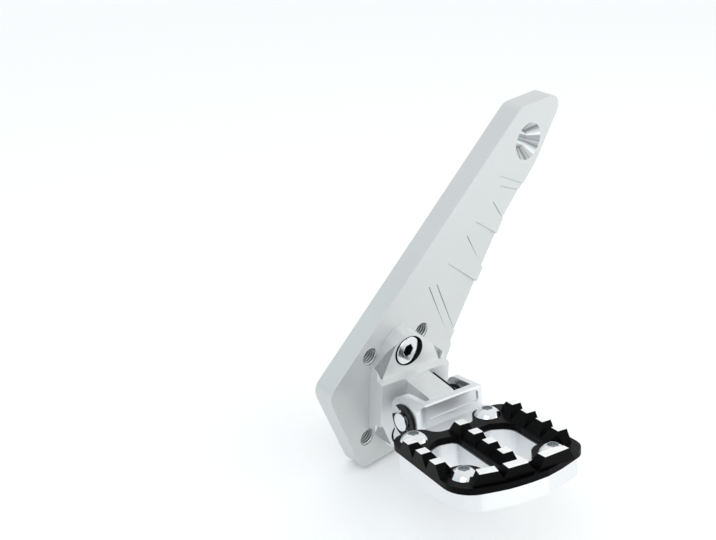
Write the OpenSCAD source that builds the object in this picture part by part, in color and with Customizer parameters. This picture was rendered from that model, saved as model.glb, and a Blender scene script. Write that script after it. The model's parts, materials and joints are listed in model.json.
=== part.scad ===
// Folding rider footpeg on a milled bracket plate, right-hand side of the motorcycle.
// +X runs along the bolt rows, -Y points outward to the rider's boot, +Z is up.
// The origin is the middle of the six tapped holes on the plate's inner face.

/* [Bracket plate] */
// Thickness of the plate
plate_t = 10; // [8:0.5:12]
// Distance from one bolt column to the next
column_step = 16; // [14:0.5:17]
// Distance between the two bolt rows
row_gap = 42; // [41:0.5:48]
// Diameter of the threaded bolt holes
bolt_d = 8; // [6:0.5:8]
// Diameter of the locating bore between the rows
centre_bore_d = 9; // [8:0.5:14]
// Drop of the locating bore below the middle of the holes
centre_drop = 2.3; // [0:0.1:3]
// Reach of the top mounting hole along X
top_hole_x = 81.1; // [72:0.5:86]
// Height of the top mounting hole
top_hole_z = 94.4; // [86:0.5:98]
// Diameter of the top mounting hole
top_hole_d = 8.5; // [6:0.5:10]
// Diameter of the countersink on the outer face
sink_d = 17.5; // [14:0.5:20]
// Diameter of the round recesses on the inner face
ring_d = 22; // [20:0.5:24]
// Depth of the round recesses on the inner face
ring_h = 1; // [0.5:0.1:2]
// Tilt of the milled flats beside the rear edge
flat_tilt = 3; // [1:0.5:4]

/* [Hinge block] */
// Angle between the pin and the plate, seen from above
wedge = 10; // [6:0.5:11]
// Width of the block along the pin
block_w = 36; // [34:0.5:40]
// Thickness of the two screw lobes
lobe_t = 7.6; // [7:0.1:9]
// Thickness of the middle of the block
core_t = 11.5; // [10:0.1:12]
// Height of the middle of the block
core_h = 21.4; // [20:0.2:24]
// Width of the hinge tongue
tongue_w = 13; // [10:0.5:15]
// Radius of the round nose of the tongue
nose_r = 8; // [7.5:0.1:8.5]
// Distance of the pin from the plate's outer face
pin_reach = 25.6; // [25:0.2:28]
// Height of the pin above the middle of the holes
pin_z = 1; // [0:0.1:2]
// Shift of the block along the pin from the middle column
block_x = 3; // [2:0.5:4]
// Shift of the hinge along the pin from the middle column
hinge_x = 4.5; // [3:0.5:6]

/* [Block screws] */
// Diameter of the screw head
cap_d = 13; // [11:0.5:13.5]
// Height of the screw head
cap_h = 5; // [4:0.5:5.5]
// Width across the flats of the hexagon socket
cap_socket = 5; // [4:0.5:6]
// Radial room round the head in its counterbore
cap_gap = 0.6; // [0.4:0.1:0.8]

/* [Pin and clip] */
// Diameter of the hinge pin
pin_d = 8; // [7:0.25:8.5]
// Diameter of the head of the pin
pin_head_d = 12; // [11:0.5:13]
// Thickness of the head of the pin
pin_head_h = 2.2; // [1.5:0.1:3]
// Outer diameter of the retaining clip
clip_d = 14.6; // [13:0.2:15.5]
// Thickness of the retaining clip
clip_t = 1.1; // [0.8:0.1:1.5]
// Radial running clearance of the pin in its bores
pin_run = 0.05; // [0.02:0.01:0.09]

/* [Return spring] */
// Diameter of the spring wire
wire_d = 1.6; // [1.2:0.1:1.7]
// Radius of the coils, to the middle of the wire
coil_r = 6.9; // [6.2:0.1:7]

/* [Peg body] */
// Width of the fork over both ears
fork_w = 35; // [33:0.5:36]
// Thickness of each fork ear
ear_t = 5.5; // [5:0.25:7]
// Height of the fork's flat top above the pin
fork_top = 9.6; // [9:0.1:11]
// Reach of the fork's cross bar beyond the pin
bar_reach = 11.8; // [11:0.2:14]
// Upward tilt of the tread when the peg is down
tilt = 12.5; // [8:0.5:14]
// Rearward sweep of the tread from the pin's square line
sweep = 7; // [4:0.5:9]
// Depth of the frame below the tread at its outer end
frame_h = 7.4; // [6.6:0.2:10]
// Slope of the frame's underside
frame_slope = 4; // [2:0.5:6]
// Step from the tread's rim in to the frame's side
frame_step = 1.2; // [0.6:0.2:2]

/* [Tread] */
// Width of the tread from its middle line to the near edge
tread_half_w = 28; // [26:0.5:31]
// Extra width of the tread on its far side
tread_far_w = 2.4; // [0:0.2:4]
// Distance from the pin to the tread's outer edge
tread_reach = 78.6; // [76:0.2:83]
// Thickness of the tread plate under its teeth
tread_t = 2.6; // [2:0.2:4]
// Height of the tread's flat surface above the pin
tread_z = 4.6; // [4:0.1:6]
// Height of a tooth
tooth_h = 4.8; // [4:0.1:6]
// Length of a tooth at its foot
tooth_pitch = 9.8; // [9:0.1:10]
// Width of the flat top of a tooth
tooth_top = 4; // [3:0.1:5]
// Width of the middle rib
rib_w = 6.8; // [6:0.2:8]

/* [Tread screws] */
// Diameter of the button head
button_d = 11; // [10:0.2:11.6]
// Height of the button head
button_h = 3.2; // [2.5:0.1:3.6]
// Diameter of the screw's shank
button_shank = 6; // [5:0.5:6]
// Length of the shank below the head
button_len = 11; // [8:0.5:12]

/* [Hidden] */
$fn = 64;
over = 1;
seat_gap = 0.3;
silver = "#d5d8da";
steel = "#b9bcc0";
black = "#1c1c1e";

row_half = row_gap / 2;
lobe_r = cap_d / 2 + cap_gap + 1.5;
lobe_floor = lobe_t - cap_h - 0.2;
slot_w = fork_w - 2 * ear_t;
wall_reach = nose_r + seat_gap;
ear_back = 9;
ear_round = 7;
fork_round = 4;
floor_drop = nose_r + 0.4;
floor_reach = 6;
pocket_h = 0.8;
frame_top = tread_z - tread_t;
tread_x = -3.9;
screw_spots = [[-19.6, 28.5], [16.5, 25.6], [-19.1, 64.4], [18, 67.2]];
rib_x = -1.2;
spot_d = button_d + 2;
head_seat = tread_z;

// A polygon whose corners [x, y, radius] are rounded by arcs
function unit(v) = v / norm(v);
function corner(a, b, c, r) =
    let (u = unit([a[0] - b[0], a[1] - b[1]]),
         v = unit([c[0] - b[0], c[1] - b[1]]),
         half = acos(max(-1, min(1, u * v))) / 2,
         centre = [b[0], b[1]] + unit(u + v) * r / sin(half),
         from = [b[0], b[1]] + u * r / tan(half) - centre,
         to = [b[0], b[1]] + v * r / tan(half) - centre,
         turn = atan2(from[0] * to[1] - from[1] * to[0], from * to),
         steps = max(2, ceil(abs(turn) / 12)))
    [for (i = [0:steps])
        let (s = turn * i / steps)
        centre + [from[0] * cos(s) - from[1] * sin(s), from[0] * sin(s) + from[1] * cos(s)]];
function rounded(pts) =
    let (n = len(pts))
    [for (i = [0:n - 1])
        each (pts[i][2] > 0 ? corner(pts[(i + n - 1) % n], pts[i], pts[(i + 1) % n], pts[i][2])
                            : [[pts[i][0], pts[i][1]]])];

// Frames: on the plate's outer face, on the pin, and square to the tread
module on_plate() {
    translate([0, -plate_t, 0]) children();
}
module on_block() {
    on_plate() rotate([0, 0, -wedge]) children();
}
module on_pin(lift = 0) {
    on_block() translate([hinge_x, -pin_reach, pin_z]) rotate([-lift, 0, 0]) children();
}
module on_tread() {
    on_block() translate([0, -pin_reach, pin_z])
        rotate([0, 0, -sweep]) rotate([-tilt, 0, 0]) translate([tread_x, 0, 0]) children();
}

// A profile [x, z] given thickness from the plane y = -from out to y = -to
module outward(from, to) {
    translate([0, -from, 0]) rotate([90, 0, 0]) linear_extrude(to - from) children();
}
// A side profile [reach, height] given width along X
module across(x_from, x_to) {
    translate([x_from, 0, 0]) rotate([90, 0, 90]) linear_extrude(x_to - x_from) mirror([1, 0]) children();
}
// A plan [x, reach] given height along Z
module upward(z_from, z_to) {
    translate([0, 0, z_from]) linear_extrude(z_to - z_from) mirror([0, 1]) children();
}
module hexagon(flats, depth) {
    cylinder(h = depth, d = flats / cos(30), $fn = 6);
}

// Bracket plate: one long milled plate, wide at the peg and slim at the top mount
plate_outline = [[-39.5, 10.2, 7], [73.5, 111.9, 7], [105.8, 113.4, 6], [88.4, 82.9, 20],
                 [67.5, 59.7, 12], [38.6, 8.2, 8], [20, -37.1, 9], [-18.5, -37.1, 5]];
// Milled flats: each starts level along the line from its first point to its last
// and sinks towards the rear edge, so only its two ends show as steps
flat_cuts = [[1.5, [62.7, 82.5], [86, 71.5], [72, 55.5], [59.4, 70.9]],
             [3, [63.4, 77.6], [84, 69.1], [72, 55.5], [59.4, 70.9]],
             [3, [48.4, 64.4], [70, 49.6], [60, 33.6], [42.9, 59.3]],
             [1.5, [31.2, 49.3], [58, 28.8], [40, 1.3], [19.4, 42]],
             [3, [31.2, 49.3], [58, 28.8], [44, 4.6], [24.7, 41.1]]];

module milled_flat(slope, a, b, c, d) {
    up = unit(a - d);
    side = [up[1], -up[0]];
    translate([d[0], 0, d[1]]) rotate([0, 90 - atan2(up[1], up[0]), 0]) rotate([0, 0, slope])
        outward(0, 20) polygon([for (p = [a, b, c, d]) [(p - d) * side, (p - d) * up]]);
}

module bracket_plate() {
    color(silver) difference() {
        outward(0, plate_t) polygon(rounded(plate_outline));
        for (i = [-1:1])
            for (z = [row_half, -row_half])
                translate([i * column_step, over, z]) rotate([90, 0, 0]) cylinder(h = plate_t + 2 * over, d = bolt_d);
        translate([0, over, -centre_drop]) rotate([90, 0, 0]) {
            cylinder(h = plate_t + 2 * over, d = centre_bore_d);
            cylinder(h = ring_h + over, d = ring_d);
        }
        translate([top_hole_x, 0, top_hole_z]) rotate([90, 0, 0]) {
            translate([0, 0, -over]) cylinder(h = plate_t + 2 * over, d = top_hole_d);
            translate([0, 0, -over]) cylinder(h = ring_h + over, d = ring_d);
            translate([0, 0, plate_t - (sink_d - top_hole_d) / 2])
                cylinder(h = (sink_d - top_hole_d) / 2 + 0.01, d1 = top_hole_d, d2 = sink_d + 0.02);
        }
        on_plate() for (f = flat_cuts) milled_flat(f[0] * flat_tilt / 3, f[1], f[2], f[3], f[4]);
    }
}

// Hinge block: two screw lobes, a thick core and the tongue that carries the pin
lobe_half = [[-block_w / 2, 0, 0], [-block_w / 2, 15.7, 2], [-9.9, row_half + lobe_r - 3.4, 5],
             [-5, row_half + lobe_r, 4], [1.6, row_half + lobe_r, 6], [block_w / 2, 13.8, 3], [block_w / 2, 0, 0]];
core_side = [[-5, -core_h / 2 - 1], [lobe_t, -core_h / 2 - 1], [core_t, -core_h / 2], [core_t, core_h / 2],
             [lobe_t, core_h / 2 + 1], [-5, core_h / 2 + 1]];

module lobe_facet() {
    polyhedron(points = [[-block_w / 2 - 1, -lobe_t - 1, core_h / 2 + 1], [-9.2, -lobe_t - 1, 27],
                         [-block_w / 2 - 1, -lobe_t - 1, 27], [-block_w / 2 - 1, -lobe_t + 3.4, 21]],
               faces = [[0, 1, 2], [0, 3, 1], [1, 3, 2], [2, 3, 0]]);
}

module mount_block() {
    color(silver) difference() {
        union() {
            intersection() {
                on_block() translate([block_x, 0, 0]) {
                    outward(-5, lobe_t) polygon(rounded(concat(lobe_half, [for (i = [6:-1:0])
                        [lobe_half[i][0], -lobe_half[i][1], lobe_half[i][2]]])));
                    across(-block_w / 2, block_w / 2) polygon(core_side);
                }
                on_plate() translate([-50, -50, -50]) cube([100, 50, 100]);
            }
            on_pin() {
                translate([-tongue_w / 2, 0, 0]) rotate([0, 90, 0]) cylinder(h = tongue_w, r = nose_r);
                translate([-tongue_w / 2, 0, -nose_r]) cube([tongue_w, pin_reach - core_t + over, 2 * nose_r]);
            }
        }
        on_pin() translate([-block_w, 0, 0]) rotate([0, 90, 0]) cylinder(h = 2 * block_w, d = pin_d + 2 * pin_run);
        on_plate() for (z = [row_half, -row_half])
            translate([0, over, z]) rotate([90, 0, 0]) {
                cylinder(h = 30, d = bolt_d + 0.5);
                translate([0, 0, over + lobe_floor]) cylinder(h = 30, d = cap_d + 2 * cap_gap);
            }
        on_block() translate([block_x, 0, 0])
            for (side = [0, 1], end = [0, 1])
                mirror([side, 0, 0]) mirror([0, 0, end]) lobe_facet();
    }
}

// Low-head socket screw that holds the block, in the plate's thread
module block_screw(z) {
    color(steel) on_plate() translate([0, 0, z]) rotate([90, 0, 0]) difference() {
        union() {
            translate([0, 0, lobe_floor]) cylinder(h = cap_h, d = cap_d);
            translate([0, 0, -plate_t + 0.2]) cylinder(h = plate_t + lobe_floor, d = bolt_d - 0.2);
        }
        translate([0, 0, lobe_floor + cap_h - 3]) hexagon(cap_socket, 4);
    }
}
module block_screw_upper() {
    block_screw(row_half);
}
module block_screw_lower() {
    block_screw(-row_half);
}

// Outline of the tread, drawn in from its rim by step
function hinge_end(step) =
    [[tread_half_w + tread_far_w - step, 19.6 + step, 8], [12.6 + step, 19 + step, 6], [8.4, 28.4 + step, 5],
     [-9, 28.6 + step, 5], [-12.6 - step, 21 + step, 6], [step - tread_half_w, 21.8 + step, 8]];
function tread_plan() =
    let (w = tread_half_w, r = tread_reach)
    concat([[-w, r - 5, 12], [-9, r - 0.4, 40], [8, r + 0.2, 40], [w + tread_far_w, r - 7.6, 8]], hinge_end(0));
function frame_plan(step) =
    let (w = tread_half_w - step, r = tread_reach - step)
    concat([[4.2 - w, r - 3.5, 8], [-6, r - 0.4, 40], [9, r, 40], [w + tread_far_w, r - 7.4, 8]],
           hinge_end(step), [[-w, r - 31, 60]]);
function window_plan(side, grow) =
    let (a = rib_x + side * (rib_w / 2 - grow), b = side * (tread_half_w - 8 + grow), e = tread_reach - 9.8 + grow)
    [[a, e, 2.2], [b, e, 3], [b, 37.5 - grow, 7], [side * 12, 33.6 - grow, 5], [a, 35 - grow, 3]];

module windows(grow, lobe) {
    difference() {
        for (side = [-1, 1])
            polygon(rounded(window_plan(side, grow)));
        for (s = [2, 3]) translate(screw_spots[s]) circle(r = lobe - grow);
        translate([-tread_half_w, tread_reach - 10]) rotate(18) square([14, 12]);
    }
}

// Peg body: fork, cross bar and open frame, machined from one billet
fork_side = [[-ear_back, -7.6, 6], [-ear_back, fork_top, ear_round], [bar_reach, fork_top, 1],
             [bar_reach, 1.2, 0], [15, -1, 2], [33, frame_top, 0], [33, -8, 0], [9, -12.6, 4], [-2, -10.4, 3]];

module fork_block() {
    intersection() {
        across(-fork_w / 2, fork_w / 2) polygon(rounded(fork_side));
        upward(-20, 20) polygon(rounded([[-fork_w / 2, -20, 0], [-fork_w / 2, bar_reach, 3.5],
            [fork_w / 2, bar_reach, 5], [fork_w / 2, -20, 0]]));
        outward(-20, 40) polygon(rounded([[-fork_w / 2, -20, 0], [-fork_w / 2, fork_top, fork_round],
            [fork_w / 2, fork_top, fork_round], [fork_w / 2, -20, 0]]));
    }
    across(-fork_w / 2, fork_w / 2)
        polygon(rounded([[4, -3, 0], [12, -0.5, 3], [33, frame_top, 0], [33, -8, 0], [9, -12.6, 3], [4, -11, 0]]));
}

// The slot's outer wall is square to the tread and its floor is level, as the stop
module fork_slot() {
    on_pin() across(-slot_w / 2, slot_w / 2)
        polygon([[-floor_reach, -30], [-floor_reach, -floor_drop],
                 [(wall_reach + floor_drop * sin(tilt)) / cos(tilt), -floor_drop],
                 [(wall_reach - 30 * sin(tilt)) / cos(tilt), 30], [-30, 30], [-30, -30]]);
}

module peg_body() {
    color(silver) difference() {
        union() {
            on_pin(tilt) fork_block();
            on_tread() difference() {
                upward(-30, frame_top) polygon(rounded(frame_plan(frame_step)));
                translate([-60, -tread_reach, frame_top - frame_h]) rotate([-frame_slope, 0, 0])
                    translate([0, -20, -40]) cube([120, 120, 40]);
            }
        }
        fork_slot();
        on_pin(tilt) translate([0, -bar_reach + pocket_h, (fork_top + 1.2) / 2])
            outward(0, 4) polygon(rounded([[-13, -2.4, 1.2], [-13, 2.4, 1.2], [13, 2.4, 1.2], [13, -2.4, 1.2]]));
        on_pin() translate([-fork_w, 0, 0]) rotate([0, 90, 0]) cylinder(h = 2 * fork_w, d = pin_d + 2 * pin_run);
        on_tread() {
            upward(frame_top, 30) translate([-60, 16]) square([120, 90]);
            upward(-30, frame_top + over) windows(-0.6, 8);
            for (s = screw_spots) translate([s[0], -s[1], frame_top - button_len])
                cylinder(h = button_len + over, d = button_shank);
        }
    }
}

// Tread plate: black plate with pyramid teeth along its edges and its rib
near_teeth = [37.4, 47.2, 57.2];
far_teeth = [30.6, 40.6, 50.6, 60.6];
rib_teeth = [34.4, 44.4, 54.2, 64];
// Outer row: place along the rim, reach, turn and length of the top
outer_teeth = [[-15.1, 73.4, -13, 7], [-3.8, 74.7, -3, 8], [12.8, 74.5, 5, 11]];

module tooth(foot_out, foot_in, length, top_length) {
    translate([0, 0, -0.5]) rotate([90, 0, 90])
        intersection() {
            translate([0, 0, -foot_in]) linear_extrude(foot_in + foot_out)
                polygon([[-length / 2, 0], [-length / 2, 0.5], [-top_length / 2, tooth_h + 0.5],
                         [top_length / 2, tooth_h + 0.5], [length / 2, 0.5], [length / 2, 0]]);
            translate([-length, 0, 0]) rotate([0, 90, 0]) linear_extrude(2 * length)
                polygon([[-foot_out, 0], [-tooth_top / 2, tooth_h + 0.5], [tooth_top / 2, tooth_h + 0.5],
                         [foot_in, 0.5], [foot_in, 0]]);
        }
}

module tread_plate() {
    rim = tread_half_w - tooth_top / 2;
    color(black) on_tread() difference() {
        union() {
            upward(frame_top, tread_z) difference() {
                polygon(rounded(tread_plan()));
                windows(0, 8);
            }
            translate([0, 0, tread_z]) {
                for (d = far_teeth) translate([rim, -d, 0]) tooth(tooth_top / 2, 5.6, tooth_pitch, tooth_top);
                for (d = near_teeth) translate([-rim, -d, 0]) rotate(180) tooth(tooth_top / 2, 5.6, tooth_pitch, tooth_top);
                for (d = rib_teeth) translate([rib_x, -d, 0]) tooth(rib_w / 2, rib_w / 2, tooth_pitch, tooth_top);
                for (t = outer_teeth) translate([t[0], -t[1], 0])
                    rotate(-90 + t[2]) tooth(tooth_top / 2, 4.6, t[3] + tooth_pitch - tooth_top, t[3]);
            }
        }
        for (s = screw_spots) translate([s[0], -s[1], 0]) {
            cylinder(h = 20, d = button_shank + 0.4);
            translate([0, 0, head_seat]) cylinder(h = 20, d = spot_d);
        }
    }
}

// Button-head socket screw that holds the tread on the frame
module tread_screw(i) {
    ball = (button_h * button_h + button_d * button_d / 4) / (2 * button_h);
    color(steel) on_tread() translate([screw_spots[i][0], -screw_spots[i][1], head_seat]) difference() {
        union() {
            rotate_extrude() intersection() {
                translate([0, button_h - ball]) circle(r = ball, $fn = 96);
                square([button_d / 2, button_h]);
            }
            translate([0, 0, -button_len]) cylinder(h = button_len + 0.1, d = button_shank - 0.1);
        }
        translate([0, 0, button_h - 1.9]) hexagon(4, 3);
    }
}
module tread_screw_1() {
    tread_screw(0);
}
module tread_screw_2() {
    tread_screw(1);
}
module tread_screw_3() {
    tread_screw(2);
}
module tread_screw_4() {
    tread_screw(3);
}

// Hinge pin: plain pin with a flat head at the far ear and a groove at the near end
pin_near = -fork_w / 2 - clip_t - 1.6;
groove_d = pin_d - 1.6;
module hinge_pin() {
    color(steel) on_pin() rotate([0, 90, 0]) difference() {
        union() {
            translate([0, 0, pin_near]) cylinder(h = fork_w / 2 - pin_near + 0.5, d = pin_d);
            translate([0, 0, fork_w / 2 + 0.1]) cylinder(h = pin_head_h, d = pin_head_d);
        }
        translate([0, 0, -fork_w / 2 - 0.1 - clip_t]) difference() {
            cylinder(h = clip_t, d = pin_d + 1);
            translate([0, 0, -over]) cylinder(h = clip_t + 2 * over, d = groove_d);
        }
    }
}

// Retaining clip: spring-steel E clip snapped into the pin's groove
module pin_clip() {
    color(black) on_pin(-20) translate([-fork_w / 2 - 0.1 - clip_t + 0.05, 0, 0]) rotate([0, 90, 0])
        linear_extrude(clip_t - 0.1) difference() {
            circle(d = clip_d);
            difference() {
                circle(d = pin_d + 1.6);
                for (a = [0, 115, 245]) rotate(a - 90) translate([groove_d / 2 + 0.05, -1.1]) square([4, 2.2]);
            }
            circle(d = groove_d + 0.1);
            translate([-groove_d / 2 + 0.3, 0]) square([groove_d - 0.6, clip_d]);
        }
}

// Return spring: torsion coils round the pin with one leg on the block's front face
spring_sides = 8;
spring_pitch = 2.6;
spring_x = tongue_w / 2 + seat_gap + wire_d / 2;
back_leg = pin_reach - core_t - seat_gap;
function coil_point(a) = [spring_x + spring_pitch * a / 360, -coil_r * sin(a), coil_r * cos(a)];
spring_end = 450;
spring_path = concat(
    [[spring_x, back_leg, coil_r], [spring_x, 3, coil_r]],
    [for (a = [0:15:spring_end]) coil_point(a)]);

function along(path, i) =
    unit(path[min(i + 1, len(path) - 1)] - path[max(i - 1, 0)]);
function ring(path, i) =
    let (t = along(path, i), side = unit(cross(t, [1, 0, 0])), rise = cross(side, t))
    [for (k = [0:spring_sides - 1])
        let (a = 360 * k / spring_sides)
        path[i] + wire_d / 2 * (cos(a) * side + sin(a) * rise)];

module swept_wire(path) {
    n = len(path);
    s = spring_sides;
    polyhedron(
        points = [for (i = [0:n - 1]) each ring(path, i)],
        faces = concat(
            [[for (k = [0:s - 1]) k]],
            [[for (k = [s - 1:-1:0]) (n - 1) * s + k]],
            [for (i = [0:n - 2], k = [0:s - 1])
                [i * s + k, (i + 1) * s + k, (i + 1) * s + (k + 1) % s, i * s + (k + 1) % s]]));
}
module return_spring() {
    color(black) on_pin() swept_wire(spring_path);
}

bracket_plate();
mount_block();
block_screw_upper();
block_screw_lower();
peg_body();
tread_plate();
tread_screw_1();
tread_screw_2();
tread_screw_3();
tread_screw_4();
hinge_pin();
pin_clip();
return_spring();
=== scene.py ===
import math
import bpy
import bmesh
from mathutils import Matrix, Vector
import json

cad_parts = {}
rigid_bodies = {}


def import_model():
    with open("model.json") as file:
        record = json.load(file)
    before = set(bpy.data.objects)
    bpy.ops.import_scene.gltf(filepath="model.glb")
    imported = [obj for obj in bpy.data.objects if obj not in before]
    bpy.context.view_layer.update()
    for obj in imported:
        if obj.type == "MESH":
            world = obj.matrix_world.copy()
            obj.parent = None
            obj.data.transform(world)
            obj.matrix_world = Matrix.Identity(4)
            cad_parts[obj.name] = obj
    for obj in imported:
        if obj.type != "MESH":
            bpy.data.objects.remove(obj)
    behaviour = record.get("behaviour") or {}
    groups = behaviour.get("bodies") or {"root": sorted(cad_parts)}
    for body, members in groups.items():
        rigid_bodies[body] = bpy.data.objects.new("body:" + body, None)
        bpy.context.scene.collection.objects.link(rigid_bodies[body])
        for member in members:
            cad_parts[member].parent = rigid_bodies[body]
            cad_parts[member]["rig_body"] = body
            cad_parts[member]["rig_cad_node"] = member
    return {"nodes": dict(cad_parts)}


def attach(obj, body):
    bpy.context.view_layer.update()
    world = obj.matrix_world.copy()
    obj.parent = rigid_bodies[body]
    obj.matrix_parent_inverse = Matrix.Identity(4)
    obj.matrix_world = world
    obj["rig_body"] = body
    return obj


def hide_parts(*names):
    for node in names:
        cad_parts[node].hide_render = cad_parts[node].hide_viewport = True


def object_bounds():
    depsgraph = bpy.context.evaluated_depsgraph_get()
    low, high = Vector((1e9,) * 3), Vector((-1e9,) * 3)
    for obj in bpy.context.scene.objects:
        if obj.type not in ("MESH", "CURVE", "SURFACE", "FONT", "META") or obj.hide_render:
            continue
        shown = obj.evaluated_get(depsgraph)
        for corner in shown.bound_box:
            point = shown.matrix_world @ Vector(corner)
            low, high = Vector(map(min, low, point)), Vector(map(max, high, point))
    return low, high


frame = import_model()
cad_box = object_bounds()

# Bracket plate. A flat arm milled from 10 mm aluminium plate, bead blasted and clear anodised,
# with a fine chamfer run round every edge. It bolts to the motorcycle by its tapped corner holes.
# Sizes are in mm: x and z lie in the plate, and y is 0 on its inner face and minus outwards.
MM = 0.001
OUTER_FACE = -10
PLATE_CHAMFER = 0.5
MERGED_WITHIN = 0.002
FLAT_WITHIN = math.radians(0.5)
SHARP_PAST = math.radians(28)
ROUND_BELOW = math.radians(10)


def linear(hex_colour):
    """An sRGB hex colour as the linear colour that a shader's socket takes."""
    channels = [int(hex_colour[i:i + 2], 16) / 255 for i in (1, 3, 5)]
    return [c / 12.92 if c <= 0.04045 else ((c + 0.055) / 1.055) ** 2.4 for c in channels] + [1]


def node(material, kind, settings=None, links=None):
    """A shader node with its settings, and each of its inputs linked or given a value."""
    made = material.node_tree.nodes.new(kind)
    for name, value in (settings or {}).items():
        setattr(made, name, value)
    for name, value in (links or {}).items():
        if isinstance(value, bpy.types.NodeSocket):
            material.node_tree.links.new(value, made.inputs[name])
        else:
            made.inputs[name].default_value = value
    return made


def new_material(name):
    """An empty material that is built from nodes."""
    material = bpy.data.materials.new(name)
    material.use_nodes = True
    material.node_tree.nodes.clear()
    return material


def finish_material(material, shader):
    """Join a material's shader to its output."""
    out = node(material, "ShaderNodeOutputMaterial", links={"Surface": shader.outputs["BSDF"]})
    out.is_active_output = True


def give(piece, material):
    """Make a material the piece's only one."""
    piece.data.materials.clear()
    piece.data.materials.append(material)


def refinish(piece, material, inside):
    """Give the faces whose corners, in mm, all pass a test another material of the piece."""
    if material.name not in piece.data.materials:
        piece.data.materials.append(material)
    slot = piece.data.materials.find(material.name)
    for face in piece.data.polygons:
        corners = [piece.data.vertices[corner].co / MM for corner in face.vertices]
        if all(inside(at, face.normal) for at in corners):
            face.material_index = slot


def make_active(piece):
    """Select one piece alone, so that the next operator acts on it."""
    bpy.ops.object.select_all(action="DESELECT")
    piece.select_set(True)
    bpy.context.view_layer.objects.active = piece


def cut_away(piece, cutter):
    """Take a closed cutter out of a piece and remove the cutter."""
    make_active(piece)
    cut = piece.modifiers.new("cut", "BOOLEAN")
    cut.operation = "DIFFERENCE"
    cut.solver = "MANIFOLD"
    cut.object = cutter
    bpy.ops.object.modifier_apply(modifier="cut")
    bpy.data.objects.remove(cutter)


def merged_copy(name):
    """A copy of a CAD node's mesh, joined up and with its flat faces whole again."""
    source = frame["nodes"][name]
    piece = source.copy()
    piece.data = source.data.copy()
    piece.parent = None
    piece.name = name + "_eased"
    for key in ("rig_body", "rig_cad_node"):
        if key in piece:
            del piece[key]
    bpy.context.scene.collection.objects.link(piece)
    make_active(piece)
    bpy.ops.object.mode_set(mode="EDIT")
    bpy.ops.mesh.select_all(action="SELECT")
    bpy.ops.mesh.remove_doubles(threshold=MERGED_WITHIN * MM)
    bpy.ops.mesh.customdata_custom_splitnormals_clear()
    bpy.ops.mesh.dissolve_limited(angle_limit=FLAT_WITHIN)
    bpy.ops.object.mode_set(mode="OBJECT")
    return piece


def eased_copy(name, body, chamfer, dress=None, left_sharp=None):
    """A CAD node's shape, dressed and with its sharp edges chamfered, standing for the node."""
    piece = merged_copy(name)
    if dress:
        dress(piece)
    make_active(piece)
    shape = bmesh.new()
    shape.from_mesh(piece.data)
    weight = shape.edges.layers.float.new("bevel_weight_edge")
    for edge in shape.edges:
        sharp = edge.is_manifold and edge.calc_face_angle() > SHARP_PAST
        if sharp and not (left_sharp and left_sharp(edge)):
            edge[weight] = 1
    shape.to_mesh(piece.data)
    shape.free()
    bevel = piece.modifiers.new("chamfer", "BEVEL")
    bevel.width = chamfer * MM
    bevel.segments = 2
    bevel.limit_method = "WEIGHT"
    bevel.harden_normals = False
    bpy.ops.object.modifier_apply(modifier="chamfer")
    bpy.ops.object.shade_smooth_by_angle(angle=ROUND_BELOW)
    flats = piece.modifiers.new("flats", "WEIGHTED_NORMAL")
    flats.keep_sharp = True
    bpy.ops.object.modifier_apply(modifier="flats")
    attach(piece, body)
    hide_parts(name)
    return piece


# The cutter that milled the low flats on the arm left a fine line along each of their edges. A line
# has its inner end, a point past the arm's edge that it runs towards, both as x and z, and how far
# it dips on the way, where the flat beside it slopes down.
LINE_WIDE = 0.55
LINE_DEEP = 0.3
CUTTER_TALL = 4
MILLED_LINES = [((62.7, 82.5), (86, 71.5), 0.3), ((63.4, 77.6), (84, 69.1), 1.1),
                ((59.4, 70.9), (72, 55.5), 1.0), ((48.4, 64.4), (70, 49.6), 0.3),
                ((42.9, 59.3), (60, 33.6), 1.8), ((31.2, 49.3), (58, 28.8), 0.3),
                ((24.7, 41.1), (44, 4.6), 2.6), ((19.4, 42), (40, 1.3), 1.8)]
SLACK = 0.1


def mill_lines(piece):
    """Cut each milled line as a narrow slot, open at the arm's edge."""
    for start, end, dip in MILLED_LINES:
        start = Vector((start[0], 0, start[1]))
        run = Vector((end[0], 0, end[1])) - start
        turn = run.to_track_quat("X", "Z").to_matrix().to_4x4()
        middle = start + run / 2 + Vector((0, OUTER_FACE - CUTTER_TALL / 2 + LINE_DEEP, 0))
        bpy.ops.object.select_all(action="DESELECT")
        bpy.ops.mesh.primitive_cube_add(size=1)
        cutter = bpy.context.active_object
        cutter.data.transform(Matrix.Translation(middle * MM) @ turn
                              @ Matrix.Diagonal((run.length * MM, CUTTER_TALL * MM, LINE_WIDE * MM, 1)))
        for point in cutter.data.vertices:
            if point.co.y > middle.y * MM and (point.co - middle * MM).dot(run) > 0:
                point.co.y += dip * MM
        cut_away(piece, cutter)


def on_line(at, line):
    """Whether a place on the plate is on the floor or the walls of one milled line."""
    start = Vector(line[0])
    run = (Vector(line[1]) - start).normalized()
    away = Vector((at.x, at.z)) - start
    return (abs(at.y - OUTER_FACE) < CUTTER_TALL and away.dot(run) > -SLACK
            and abs(away.cross(run)) < LINE_WIDE / 2 + SLACK / 2)


def along_a_line(edge):
    """Whether an edge belongs to a milled line, which the chamfer leaves sharp."""
    return any(all(on_line(corner.co / MM, line) for corner in edge.verts) for line in MILLED_LINES)


# Clear-anodised aluminium, bead blasted: a pale satin grey with a soft broad sheen. The blasting's
# grain is 0.2 mm or so, drawn at 0.5 mm to show at all. The bath leaves faint clouds in the tone,
# a few centimetres across.
BLAST_GRAIN = 0.5
BATH_CLOUD = 35


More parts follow.
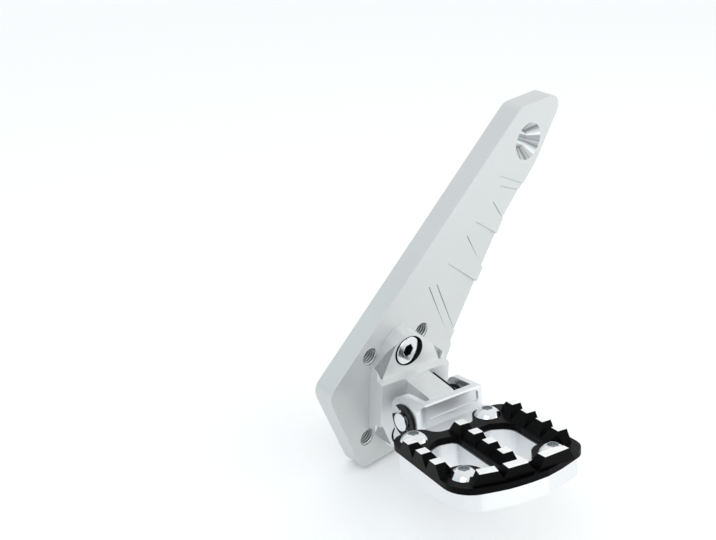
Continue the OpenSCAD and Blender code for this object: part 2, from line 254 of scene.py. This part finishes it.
def blasted_metal(name, darker, lighter):
    """Bead-blasted anodised aluminium between two near tones."""
    material = new_material(name)
    place = node(material, "ShaderNodeTexCoord")
    cloud = node(material, "ShaderNodeTexNoise",
                 links={"Vector": place.outputs["Object"], "Scale": 1 / (BATH_CLOUD * MM), "Detail": 3.0})
    colour = node(material, "ShaderNodeMix", {"data_type": "RGBA"}, {"Factor": cloud.outputs["Fac"]})
    colour.inputs["A"].default_value = linear(darker)
    colour.inputs["B"].default_value = linear(lighter)
    grain = node(material, "ShaderNodeTexNoise",
                 links={"Vector": place.outputs["Object"], "Scale": 1 / (BLAST_GRAIN * MM), "Detail": 2.0})
    relief = node(material, "ShaderNodeBump",
                  links={"Height": grain.outputs["Fac"], "Strength": 0.12, "Distance": 0.03 * MM})
    satin = node(material, "ShaderNodeMapRange",
                 links={"Value": cloud.outputs["Fac"], "To Min": 0.34, "To Max": 0.46})
    shader = node(material, "ShaderNodeBsdfPrincipled",
                  links={"Base Color": colour.outputs["Result"], "Metallic": 0.6,
                         "Roughness": satin.outputs["Result"], "Normal": relief.outputs["Normal"]})
    finish_material(material, shader)
    return material


plate = eased_copy("bracket_plate", "bracket", PLATE_CHAMFER,
                   dress=mill_lines, left_sharp=along_a_line)
give(plate, blasted_metal("bead_blasted_anodised_aluminium", "#c9cbcb", "#d0d2d2"))

# Where a cutter or a tap went in, the metal is raw, and its tool marks are about 1 mm apart. A
# near-black copy of it is painted shade in the holes and the sunk seats, and the milled grey is the
# raw cut darkened with painted shade.
TOOL_MARK = 0.9


def marked_metal(name, colour, metallic, mark, glossiest, dullest):
    """A metal of one colour, whose roughness varies in marks of a size in mm."""
    material = new_material(name)
    place = node(material, "ShaderNodeTexCoord")
    marks = node(material, "ShaderNodeTexNoise",
                 links={"Vector": place.outputs["Object"], "Scale": 1 / (mark * MM)})
    dull = node(material, "ShaderNodeMapRange",
                links={"Value": marks.outputs["Fac"], "To Min": glossiest, "To Max": dullest})
    shader = node(material, "ShaderNodeBsdfPrincipled",
                  links={"Base Color": linear(colour), "Metallic": metallic,
                         "Roughness": dull.outputs["Result"]})
    finish_material(material, shader)
    return material


painted_shade_metal = marked_metal("painted_shade_raw_aluminium", "#2a2b2c", 0.8, TOOL_MARK, 0.3, 0.5)
milled_with_painted_shade = marked_metal("milled_aluminium_painted_shade", "#b9bdbe", 1.0, TOOL_MARK, 0.2, 0.4)
# The lines' floors and walls take the milled grey, darker than the plate: the raw cut, with painted shade
# in the groove.
for line in MILLED_LINES:
    refinish(plate, milled_with_painted_shade, lambda at, normal: on_line(at, line))

# The top hole's cone carries painted reflections: light and dark streaks that run to its middle,
# as the highlights of a turned cone. They follow the direction from the hole's axis, in x and z.
TOP_HOLE = (81.1, 94.4)
SINK_R = 8.75
STREAKS = 2.4
cone_painted_reflection = new_material("countersink_painted_reflection")
place = node(cone_painted_reflection, "ShaderNodeTexCoord")
from_axis = node(cone_painted_reflection, "ShaderNodeMapping",
                 links={"Vector": place.outputs["Object"], "Scale": (1, 0, 1),
                        "Location": (-TOP_HOLE[0] * MM, 0, -TOP_HOLE[1] * MM)})
way = node(cone_painted_reflection, "ShaderNodeVectorMath", {"operation": "NORMALIZE"},
           {"Vector": from_axis.outputs["Vector"]})
streak = node(cone_painted_reflection, "ShaderNodeTexNoise",
              links={"Vector": way.outputs["Vector"], "Scale": STREAKS, "Detail": 3.0})
bright = node(cone_painted_reflection, "ShaderNodeMapRange",
              links={"Value": streak.outputs["Fac"], "From Min": 0.38, "From Max": 0.6})
colour = node(cone_painted_reflection, "ShaderNodeMix", {"data_type": "RGBA"}, {"Factor": bright.outputs["Result"]})
colour.inputs["A"].default_value = linear("#8c8f91")
colour.inputs["B"].default_value = linear("#f4f5f5")
shader = node(cone_painted_reflection, "ShaderNodeBsdfPrincipled",
              links={"Base Color": colour.outputs["Result"], "Metallic": 1.0, "Roughness": 0.3})
finish_material(cone_painted_reflection, shader)


def in_countersink(at, normal):
    """The cone and the wall of the top hole."""
    return math.hypot(at.x - TOP_HOLE[0], at.z - TOP_HOLE[1]) < SINK_R + SLACK and abs(normal.y) < 0.95


# The cone and the wall of the top hole take the painted reflections.
refinish(plate, cone_painted_reflection, in_countersink)

# Threads of the four free corner holes. M8 by 1.25, cut with a tap through the plate, so each hole
# shows its ridges as a ladder of bright lines down a wall that is painted dark as shade.
HOLE_COLUMN = 16
HOLE_ROW = 21
HOLE_R = 4
THREAD_OUTER = 4.02
THREAD_INNER = 3.4
THREAD_PITCH = 1.25
THREAD_TURNS = 7.1
THREAD_START = -0.6
STEPS_A_TURN = 28
RIDGE = [(THREAD_OUTER, -0.52), (THREAD_OUTER, 0.52), (THREAD_INNER, 0.08), (THREAD_INNER, -0.08)]


def in_tapped_hole(at, normal):
    """The walls of the four free corner holes."""
    off_axis = math.hypot(abs(at.x) - HOLE_COLUMN, abs(at.z) - HOLE_ROW)
    return off_axis < HOLE_R + SLACK and abs(normal.y) < 0.3


def thread_ridge(name, x, z):
    """The ridge's outline, as radius and way along, wound up the wall of a hole at x and z."""
    bpy.ops.object.select_all(action="DESELECT")
    bpy.ops.mesh.primitive_circle_add(vertices=len(RIDGE), fill_type="NGON", calc_uvs=False)
    ridge = bpy.context.active_object
    ridge.name = name
    for point, (radius, along) in zip(ridge.data.vertices, RIDGE):
        point.co = (radius * MM, 0, along * MM)
    winding = ridge.modifiers.new("winding", "SCREW")
    winding.axis = "Z"
    winding.angle = 2 * math.pi * THREAD_TURNS
    winding.screw_offset = THREAD_TURNS * THREAD_PITCH * MM
    winding.steps = winding.render_steps = int(STEPS_A_TURN * THREAD_TURNS)
    winding.use_normal_calculate = True
    bpy.ops.object.modifier_apply(modifier="winding")
    ridge.data.transform(Matrix.Translation((x * MM, THREAD_START * MM, z * MM))
                         @ Matrix.Rotation(math.radians(90), 4, "X"))
    bpy.ops.object.mode_set(mode="EDIT")
    bpy.ops.mesh.select_all(action="SELECT")
    bpy.ops.mesh.remove_doubles(threshold=MERGED_WITHIN * MM)
    bpy.ops.mesh.normals_make_consistent(inside=False)
    bpy.ops.object.mode_set(mode="OBJECT")
    bpy.ops.object.shade_smooth_by_angle(angle=math.radians(35))
    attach(ridge, "bracket")
    return ridge


# The walls of the four corner holes are painted near black as shade.
refinish(plate, painted_shade_metal, in_tapped_hole)
tapped = marked_metal("tapped_aluminium", "#b9bcbb", 1.0, 1.5, 0.25, 0.5)
for column, x in (("left", -HOLE_COLUMN), ("right", HOLE_COLUMN)):
    for row, z in (("low", -HOLE_ROW), ("high", HOLE_ROW)):
        give(thread_ridge(f"thread_{column}_{row}", x, z), tapped)

# Hinge block. Machined from the same stock as the plate, blasted and anodised; two recessed cap
# screws pull it down and its tongue carries the hinge pin. It is drawn a tone lighter than the plate:
# painted light, to lift it out of the shade round the hinge.
BLOCK_CHAMFER = 0.35
BLOCK_YAW = Matrix.Rotation(math.radians(-10), 4, "Z")
BLOCK_MIDDLE = 3
FACET = [Vector((-18, -4.2, 17.6)), Vector((-8.8, -7.6, 26.1)), Vector((-15.4, -7.6, 10.8))]
FACET_APEX = Vector((-24, -15, 27))
FACET_GROWN = 1.06
ALL_FOUR = [(side, end) for side in (1, -1) for end in (1, -1)]


def file_corners(piece):
    """The four slanted corners of the lobes, each a triangular facet filed across the corner."""
    middle = sum(FACET, Vector()) / len(FACET)
    corners = [middle + (corner - middle) * FACET_GROWN for corner in FACET] + [FACET_APEX]
    for side, end in ALL_FOUR:
        bpy.ops.object.select_all(action="DESELECT")
        bpy.ops.mesh.primitive_cone_add(vertices=3, radius1=1, depth=1)
        cutter = bpy.context.active_object
        for point, corner in zip(cutter.data.vertices, corners):
            point.co = Vector((corner.x * side, corner.y, corner.z * end))
        cutter.data.transform(Matrix.Scale(MM, 4) @ Matrix.Translation((0, OUTER_FACE, 0)) @ BLOCK_YAW
                              @ Matrix.Translation((BLOCK_MIDDLE, 0, 0)))
        bpy.ops.object.mode_set(mode="EDIT")
        bpy.ops.mesh.select_all(action="SELECT")
        bpy.ops.mesh.normals_make_consistent(inside=False)
        bpy.ops.object.mode_set(mode="OBJECT")
        cut_away(piece, cutter)


block = eased_copy("mount_block", "bracket", BLOCK_CHAMFER, dress=file_corners)
# The block's tones are a lighter copy of the plate's metal: painted light.
give(block, blasted_metal("bead_blasted_block_painted_lighter", "#dddfdf", "#e3e4e4"))

# The sunk seats are painted dark as shade in the narrow gap round each screw's head: a dark ring shows
# there.
SEAT_R = 7.1


def in_seat(at, normal):
    """The wall and floor of the sunk seats round the two block screws."""
    return math.hypot(at.x, abs(at.z) - HOLE_ROW) < SEAT_R + SLACK / 2 and at.y < OUTER_FACE - SLACK


refinish(block, painted_shade_metal, in_seat)

# The lobes' slanted corners are dressed with a file after milling: fine lines, a duller and darker
# grey. A smooth file's teeth are 0.4 mm apart, and its strokes are long.
FILE_TOOTH = 0.4
STROKE_TURN = 0.6
STROKE_LONG = 0.08
filed = new_material("filed_aluminium")
place = node(filed, "ShaderNodeTexCoord")
along = node(filed, "ShaderNodeMapping",
             links={"Vector": place.outputs["Object"], "Rotation": (0, STROKE_TURN, 0),
                    "Scale": (1, 1, STROKE_LONG)})
strokes = node(filed, "ShaderNodeTexNoise",
               links={"Vector": along.outputs["Vector"], "Scale": 1 / (FILE_TOOTH * MM), "Detail": 2.0})
relief = node(filed, "ShaderNodeBump",
              links={"Height": strokes.outputs["Fac"], "Strength": 0.4, "Distance": 0.05 * MM})
colour = node(filed, "ShaderNodeMix", {"data_type": "RGBA"}, {"Factor": strokes.outputs["Fac"]})
colour.inputs["A"].default_value = linear("#8d9090")
colour.inputs["B"].default_value = linear("#b9bcbc")
shader = node(filed, "ShaderNodeBsdfPrincipled",
              links={"Base Color": colour.outputs["Result"], "Metallic": 1.0, "Roughness": 0.45,
                     "Normal": relief.outputs["Normal"]})
finish_material(filed, shader)
facet_up = (FACET[1] - FACET[0]).cross(FACET[2] - FACET[0]).normalized()
facet_up = facet_up if facet_up.y < 0 else -facet_up
facet_ways = [BLOCK_YAW.to_3x3() @ Vector((facet_up.x * side, facet_up.y, facet_up.z * end))
              for side, end in ALL_FOUR]
refinish(block, filed, lambda at, normal: any(normal.dot(way) > 0.995 for way in facet_ways))

# Peg body. One machined billet, fork and open frame together, then tumbled before anodising, so it
# is brighter and smoother than the plate. The tumbling media leave ripples about 0.8 mm wide.
PEG_CHAMFER = 0.4
TUMBLED_CLOUD = 20
TUMBLED_RIPPLE = 0.8
tumbled = new_material("tumbled_anodised_aluminium")
place = node(tumbled, "ShaderNodeTexCoord")
cloud = node(tumbled, "ShaderNodeTexNoise",
             links={"Vector": place.outputs["Object"], "Scale": 1 / (TUMBLED_CLOUD * MM), "Detail": 2.0})
ripple = node(tumbled, "ShaderNodeTexNoise",
              links={"Vector": place.outputs["Object"], "Scale": 1 / (TUMBLED_RIPPLE * MM), "Detail": 2.0})
relief = node(tumbled, "ShaderNodeBump",
              links={"Height": ripple.outputs["Fac"], "Strength": 0.08, "Distance": 0.03 * MM})
satin = node(tumbled, "ShaderNodeMapRange",
             links={"Value": cloud.outputs["Fac"], "To Min": 0.34, "To Max": 0.44})
shader = node(tumbled, "ShaderNodeBsdfPrincipled",
              links={"Base Color": linear("#e4e6e8"), "Metallic": 1.0, "Roughness": satin.outputs["Result"],
                     "Normal": relief.outputs["Normal"]})
finish_material(tumbled, shader)
give(eased_copy("peg_body", "peg", PEG_CHAMFER), tumbled)

# Tread plate. Milled from aluminium and anodised black; the tooth tops were faced off after
# anodising, so each is a small square of bare bright metal. It lies in a plane through the hinge
# pin, which is yawed with the block, swept a little further and tilted down outwards.
TREAD_CHAMFER = 0.2
PIN_REACH = 25.6
PIN_Z = 1
SWEEP = math.radians(7)
TILT = math.radians(12.5)
TOOTH_TOP = 9.4
FACED_DEEP = 0.18
FACED_BLEND = 0.06
CUTTER_MARK = 0.6
hinge_at = Vector((0, OUTER_FACE, PIN_Z)) + BLOCK_YAW.to_3x3() @ Vector((0, -PIN_REACH, 0))
tread_turn = BLOCK_YAW.to_3x3() @ Matrix.Rotation(-SWEEP, 3, "Z") @ Matrix.Rotation(-TILT, 3, "X")
tread_up = tread_turn @ Vector((0, 0, 1))

black = new_material("black_anodised_aluminium")
place = node(black, "ShaderNodeTexCoord")
height = node(black, "ShaderNodeVectorMath", {"operation": "DOT_PRODUCT"},
              {"Vector": place.outputs["Object"]})
height.inputs[1].default_value = tread_up
faced_at = (tread_up.dot(hinge_at) + TOOTH_TOP - FACED_DEEP) * MM
faced = node(black, "ShaderNodeMapRange",
             links={"Value": height.outputs["Value"], "From Min": faced_at,
                    "From Max": faced_at + FACED_BLEND * MM})
lines = node(black, "ShaderNodeTexNoise",
             links={"Vector": place.outputs["Object"], "Scale": 1 / (CUTTER_MARK * MM), "Detail": 3.0})
relief = node(black, "ShaderNodeBump",
              links={"Height": lines.outputs["Fac"], "Strength": 0.15, "Distance": 0.04 * MM})
colour = node(black, "ShaderNodeMix", {"data_type": "RGBA"}, {"Factor": faced.outputs["Result"]})
colour.inputs["A"].default_value = linear("#050506")
colour.inputs["B"].default_value = linear("#f4f5f5")
gloss = node(black, "ShaderNodeMapRange",
             links={"Value": lines.outputs["Fac"], "To Min": 0.26, "To Max": 0.4})
shader = node(black, "ShaderNodeBsdfPrincipled",
              links={"Base Color": colour.outputs["Result"], "Metallic": faced.outputs["Result"],
                     "Roughness": gloss.outputs["Result"], "Normal": relief.outputs["Normal"],
                     "Specular IOR Level": 0.05})
finish_material(black, shader)
give(eased_copy("tread_plate", "peg", TREAD_CHAMFER), black)

# Screws and hinge pin. Stainless steel, turned and polished, with hexagon sockets broached in the
# screw heads. The polish is a mirror with a faint haze, in patches about 2 mm across.
PIN_CHAMFER = 0.3
POLISH_HAZE = 2
polished = new_material("polished_stainless_steel")
place = node(polished, "ShaderNodeTexCoord")
haze = node(polished, "ShaderNodeTexNoise",
            links={"Vector": place.outputs["Object"], "Scale": 1 / (POLISH_HAZE * MM), "Detail": 3.0})
gloss = node(polished, "ShaderNodeMapRange",
             links={"Value": haze.outputs["Fac"], "To Min": 0.08, "To Max": 0.2})
relief = node(polished, "ShaderNodeBump",
              links={"Height": haze.outputs["Fac"], "Strength": 0.1, "Distance": 0.03 * MM})
shader = node(polished, "ShaderNodeBsdfPrincipled",
              links={"Base Color": linear("#dfe1e4"), "Metallic": 1.0, "Roughness": gloss.outputs["Result"],
                     "Normal": relief.outputs["Normal"]})
finish_material(polished, shader)
give(eased_copy("hinge_pin", "peg", PIN_CHAMFER), polished)

OUTWARD = Vector((0, -1, 0))
SOCKET_DEEP = 3.2
CAP_SOCKET_R = 3.0
BUTTON_SOCKET_R = 2.4


def finish_screw(name, body, axis, socket_r, socket_shade):
    """A polished screw whose socket, near its axis and under its top, takes a darker material as painted
    shade.
    """
    screw = eased_copy(name, body, PIN_CHAMFER)
    give(screw, polished)
    corners = [point.co / MM for point in screw.data.vertices]
    middle = sum(corners, Vector()) / len(corners)
    floor_at = max(corner.dot(axis) for corner in corners) - SOCKET_DEEP
    refinish(screw, socket_shade, lambda at, normal: (at - middle).cross(axis).length < socket_r
             and at.dot(axis) > floor_at)


# The sunk cap screws' sockets are painted near black as shade, and the button heads' sockets on the tread
# take the lighter milled grey, with painted shade.
for name in ("block_screw_upper", "block_screw_lower"):
    finish_screw(name, "bracket", OUTWARD, CAP_SOCKET_R, painted_shade_metal)
for number in range(1, 5):
    finish_screw(f"tread_screw_{number}", "peg", tread_up, BUTTON_SOCKET_R, milled_with_painted_shade)

# Retaining clip and return spring. Spring steel with a black phosphate coat, oiled, so it is dark
# with a low sheen. The coat's crystals are far finer than the 0.7 mm at which they are drawn to show.
PHOSPHATE_MOTTLE = 0.7
phosphate = marked_metal("black_phosphated_spring_steel", "#121213", 0.6, PHOSPHATE_MOTTLE, 0.35, 0.55)
for name in ("pin_clip", "return_spring"):
    give(frame["nodes"][name], phosphate)

# Studio: the object hangs just over a plain white floor, lit by broad soft panels.
FLOOR_DROP = 2
FLOOR_SIZE = 6
low = min(corner[2] for corner in cad_box)
bpy.ops.object.select_all(action="DESELECT")
bpy.ops.mesh.primitive_plane_add(size=FLOOR_SIZE, location=(0, 0, low - FLOOR_DROP * MM))
floor = bpy.context.active_object
floor.name = "studio_floor"
paper = new_material("white_paper_floor")
shader = node(paper, "ShaderNodeBsdfPrincipled", links={"Base Color": linear("#fbfbfb"), "Roughness": 0.9})
finish_material(paper, shader)
give(floor, paper)

# The room is white all round, a little blue to the left, and darker behind the camera, where a studio
# is unlit: that dark side is what polished metal shows as its black accents.
WHITE = 1.06
BLUISH = (0.74 * WHITE, 0.83 * WHITE, 0.87 * WHITE, 1)
UNLIT = (0.05, 0.05, 0.055, 1)
BEHIND_CAMERA = (-0.62, -0.63, 0.46)
LEFT = (-1, 0, 0)
world = bpy.data.worlds.new("studio")
bpy.context.scene.world = world
bpy.context.scene.view_settings.view_transform = "Standard"
world.use_nodes = True
facing = node(world, "ShaderNodeTexCoord")
behind = node(world, "ShaderNodeVectorMath", {"operation": "DOT_PRODUCT"},
              {"Vector": facing.outputs["Generated"]})
behind.inputs[1].default_value = BEHIND_CAMERA
unlit = node(world, "ShaderNodeMapRange", {"interpolation_type": "SMOOTHSTEP"},
             {"Value": behind.outputs["Value"], "From Min": 0.93, "From Max": 0.985, "To Max": 0.85})
leftward = node(world, "ShaderNodeVectorMath", {"operation": "DOT_PRODUCT"},
                {"Vector": facing.outputs["Generated"]})
leftward.inputs[1].default_value = LEFT
bluish = node(world, "ShaderNodeMapRange",
              links={"Value": leftward.outputs["Value"], "From Min": -0.2, "From Max": 0.8})
walls = node(world, "ShaderNodeMix", {"data_type": "RGBA"}, {"Factor": bluish.outputs["Result"]})
walls.inputs["A"].default_value = (WHITE, WHITE, WHITE, 1)
walls.inputs["B"].default_value = BLUISH
room = node(world, "ShaderNodeMix", {"data_type": "RGBA"}, {"Factor": unlit.outputs["Result"]})
world.node_tree.links.new(walls.outputs["Result"], room.inputs["A"])
room.inputs["B"].default_value = UNLIT
world.node_tree.links.new(room.outputs["Result"], world.node_tree.nodes["Background"].inputs["Color"])

LIT_POINT = Vector((0, -0.04, 0.03))


def panel(name, at, size, power):
    """A square soft light at a point in metres, turned to the middle of the object."""
    lamp = bpy.data.lights.new(name, "AREA")
    lamp.shape = "SQUARE"
    lamp.size = size
    lamp.energy = power
    holder = bpy.data.objects.new(name, lamp)
    bpy.context.scene.collection.objects.link(holder)
    holder.location = at
    holder.rotation_euler = (LIT_POINT - Vector(at)).to_track_quat("-Z", "Y").to_euler()


panel("key_panel", (-0.5, -0.2, 0.7), 0.5, 1.2)
panel("side_panel", (0.6, -0.5, 0.3), 0.4, 0.8)
panel("front_panel", (0.05, -0.7, 0.0), 0.5, 1.0)

# The camera stands where the photograph was taken from: its place in mm, then how it is turned,
# tilted up from straight down, and rolled, in degrees.
PHOTO_WIDTH = 716
FOCAL_PIXELS = 1028.92
SENSOR = 36
CAMERA_AT = Vector((-280.258, -269.406, 255.237))
CAMERA_TURN = -44.6085
CAMERA_TILT = 62.4915
CAMERA_ROLL = 1.4788
camera = bpy.data.cameras.new("camera")
camera.sensor_width = SENSOR
camera.lens = FOCAL_PIXELS * SENSOR / PHOTO_WIDTH
camera.clip_start = 0.01
viewer = bpy.data.objects.new("camera", camera)
bpy.context.scene.collection.objects.link(viewer)
viewer.matrix_world = (Matrix.Translation(CAMERA_AT * MM)
                       @ Matrix.Rotation(math.radians(CAMERA_TURN), 4, "Z")
                       @ Matrix.Rotation(math.radians(CAMERA_TILT), 4, "X")
                       @ Matrix.Rotation(math.radians(CAMERA_ROLL), 4, "Z"))
bpy.context.scene.camera = viewer

import json
